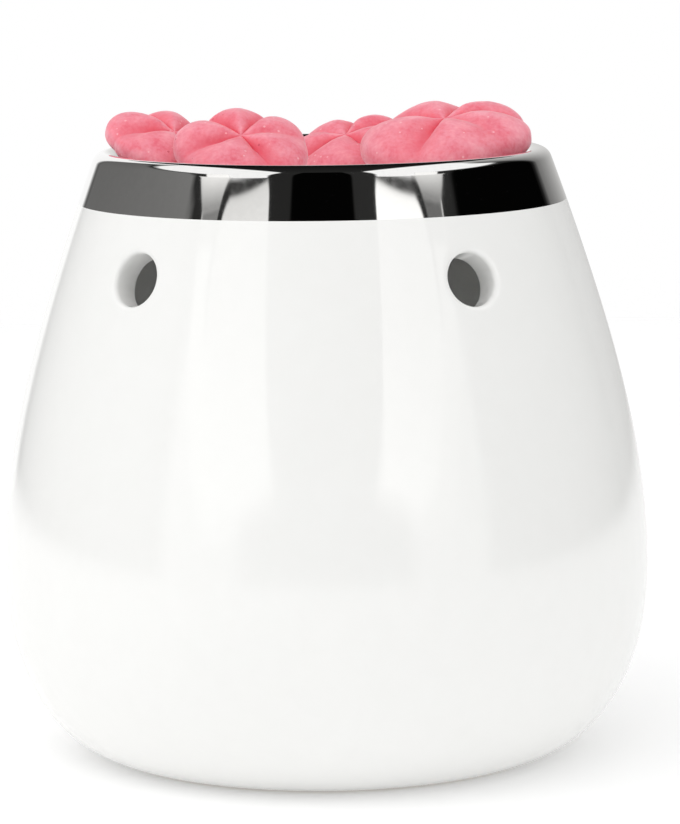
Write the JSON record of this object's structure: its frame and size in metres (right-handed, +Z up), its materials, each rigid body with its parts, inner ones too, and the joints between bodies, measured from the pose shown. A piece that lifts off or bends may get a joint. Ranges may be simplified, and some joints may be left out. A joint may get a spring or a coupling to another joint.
{
  "type": "wax melt warmer",
  "caption": "Glazed ceramic tealight warmer with a silver-banded dish on top, vents near the rim and an arch at the back, with scented wax melts in the dish.",
  "frame": {"origin": "on the surface the warmer stands on, in the middle of its foot", "axes": "+Z up, -Y towards the front with the two vents, +Y towards the arch at the back, +X to the right seen from the front"},
  "size_m": [0.1184, 0.1171, 0.1177],
  "materials": {
    "white_glaze": "gloss white glaze",
    "silver_lustre": "mirror-bright fired lustre",
    "cup_aluminium": "bright rolled sheet",
    "candle_wax": "smooth white paraffin wax",
    "sustainer_tin": "tinned sheet",
    "wick_cotton": "waxed braided cotton",
    "pink_wax": "matte, slightly translucent moulded wax"
  },
  "bodies": {
    "pot": {"ceramic_body": "white_glaze", "silver_band": "silver_lustre"},
    "tealight": {"tealight_cup": "cup_aluminium", "tealight_wax": "candle_wax", "wick_sustainer": "sustainer_tin", "wick": "wick_cotton"},
    "melt_left": {"wax_melt_left": "pink_wax"},
    "melt_front_left": {"wax_melt_front_left": "pink_wax"},
    "melt_middle": {"wax_melt_middle": "pink_wax"},
    "melt_right": {"wax_melt_right": "pink_wax"}
  },
  "joints": [
    {"name": "tealight_slide", "type": "slide", "parent": "pot", "child": "tealight", "axis": [0, 1, 0], "range_m": [0, 0.085]},
    {"name": "melt_left_lift", "type": "slide", "parent": "pot", "child": "melt_left", "axis": [0, 0, 1], "range_m": [0, 0.05]},
    {"name": "melt_front_left_lift", "type": "slide", "parent": "melt_left", "child": "melt_front_left", "axis": [0, 0, 1], "range_m": [0, 0.05]},
    {"name": "melt_middle_lift", "type": "slide", "parent": "pot", "child": "melt_middle", "axis": [0, 0, 1], "range_m": [0, 0.05]},
    {"name": "melt_right_lift", "type": "slide", "parent": "melt_middle", "child": "melt_right", "axis": [0, 0, 1], "range_m": [0, 0.05]}
  ]
}
